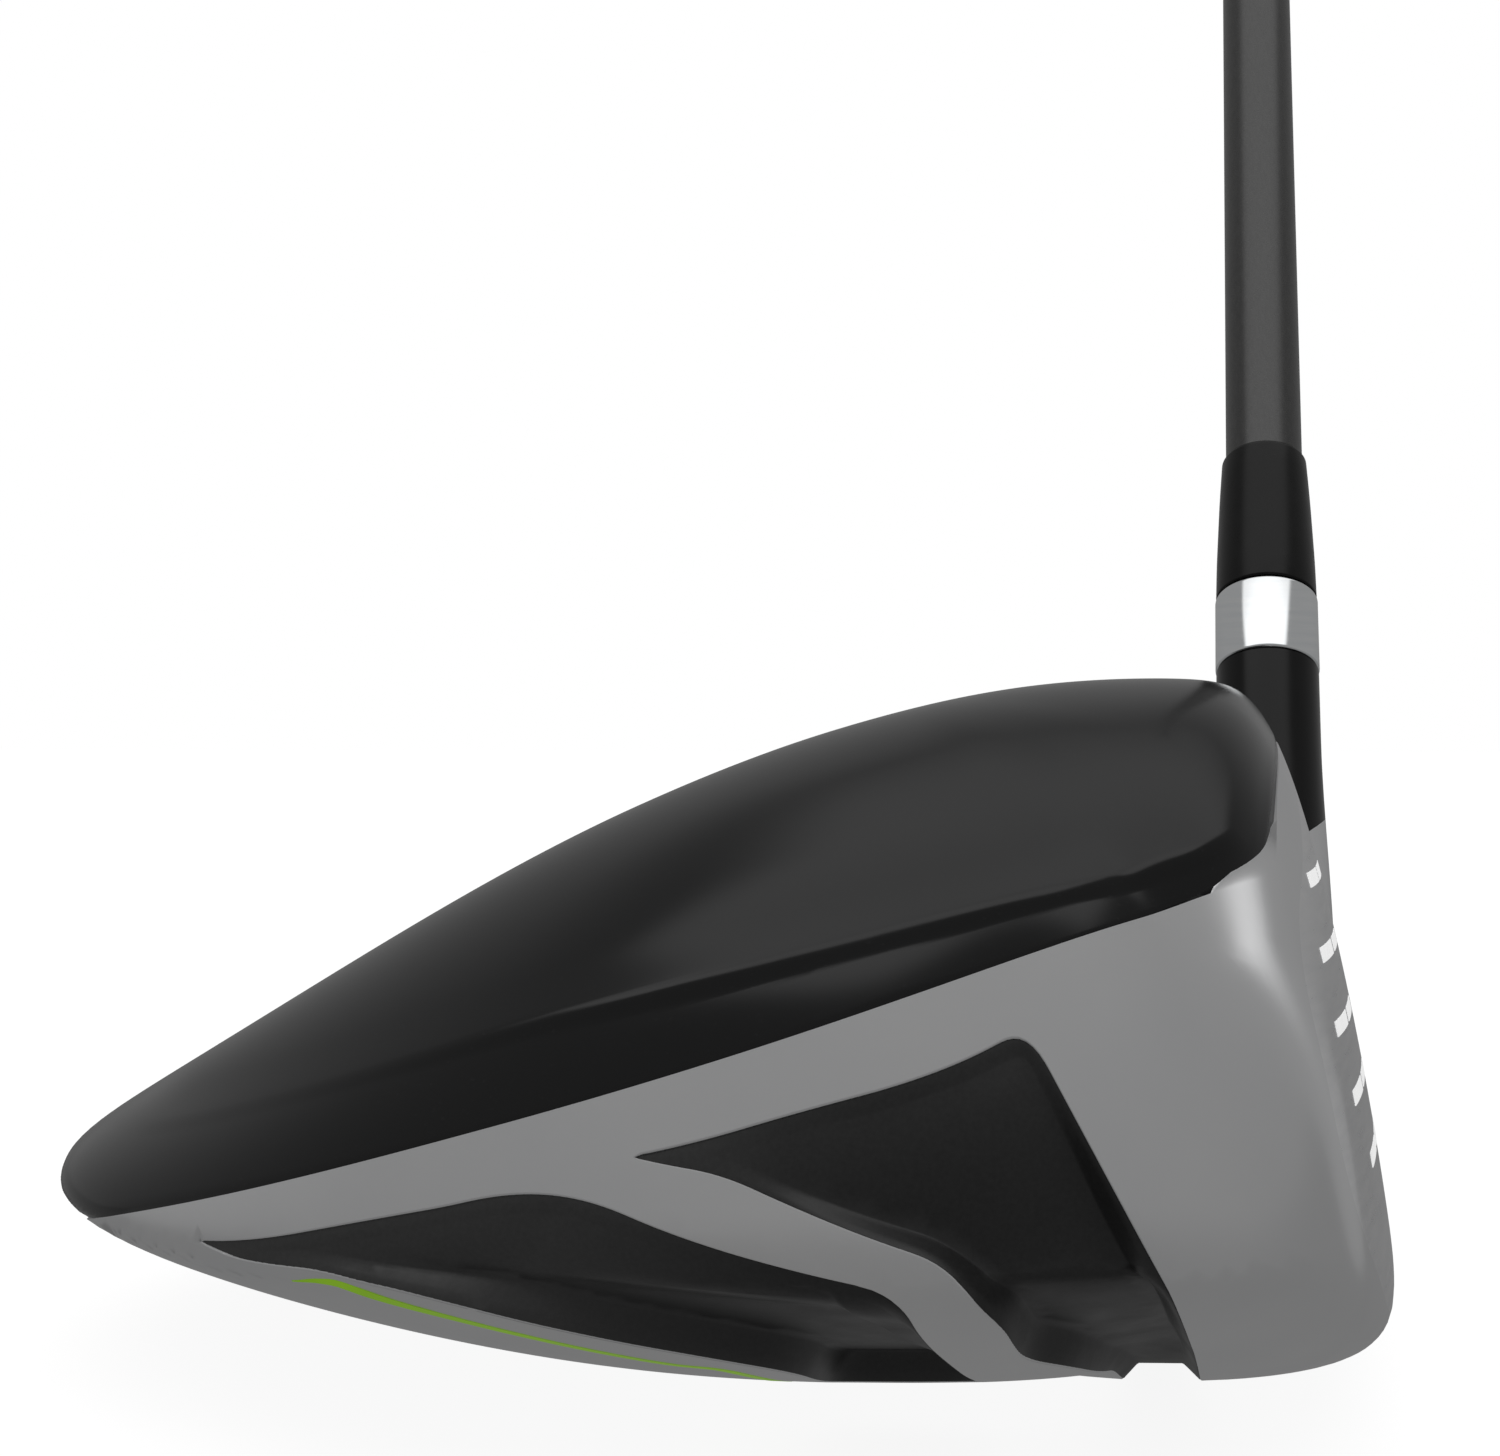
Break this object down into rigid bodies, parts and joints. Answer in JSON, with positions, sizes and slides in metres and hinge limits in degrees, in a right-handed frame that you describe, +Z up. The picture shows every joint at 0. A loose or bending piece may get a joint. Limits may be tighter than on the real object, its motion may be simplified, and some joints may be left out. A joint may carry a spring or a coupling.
{
  "type": "golf driver",
  "caption": "Offset game-improvement golf driver: hollow rounded head with recessed sole panels, bonded hosel with ferrule, tapered graphite shaft and rubber grip.",
  "frame": {"origin": "on the flat rest pad under the sole, in the ground plane", "axes": "+X to the target, out of the face; -X the rear of the head; -Y toe; +Y heel and grip end; +Z up, with the shaft leaning towards +Y at the lie angle"},
  "size_m": [0.1302, 0.6773, 0.9963],
  "materials": {
    "crown_paint": "gloss black paint",
    "hosel_paint": "gloss black paint",
    "body_satin": "satin grey metallic",
    "face_metal": "satin, with white filled score lines",
    "inlay_black": "satin black",
    "accent_green": "satin green",
    "bore_plug": "foam",
    "trim_ring": "polished",
    "ferrule_plastic": "gloss black",
    "tip_weight": "turned",
    "graphite": "satin clear coat over graphite",
    "grip_tape": "double-sided tape",
    "grip_rubber": "moulded texture"
  },
  "bodies": {
    "root": {"crown": "crown_paint", "sole_body": "body_satin", "face_plate": "face_metal", "hosel_neck": "hosel_paint", "front_channel_inlay": "inlay_black", "toe_rear_inlay": "inlay_black", "heel_rear_inlay": "inlay_black", "toe_accent_strip": "accent_green", "heel_accent_strip": "accent_green", "hosel_bore_plug": "bore_plug", "ferrule_trim_ring": "trim_ring", "ferrule": "ferrule_plastic", "shaft_tip_plug": "tip_weight", "shaft": "graphite", "grip_tape": "grip_tape", "grip": "grip_rubber", "grip_cap": "grip_rubber"}
  },
  "joints": []
}
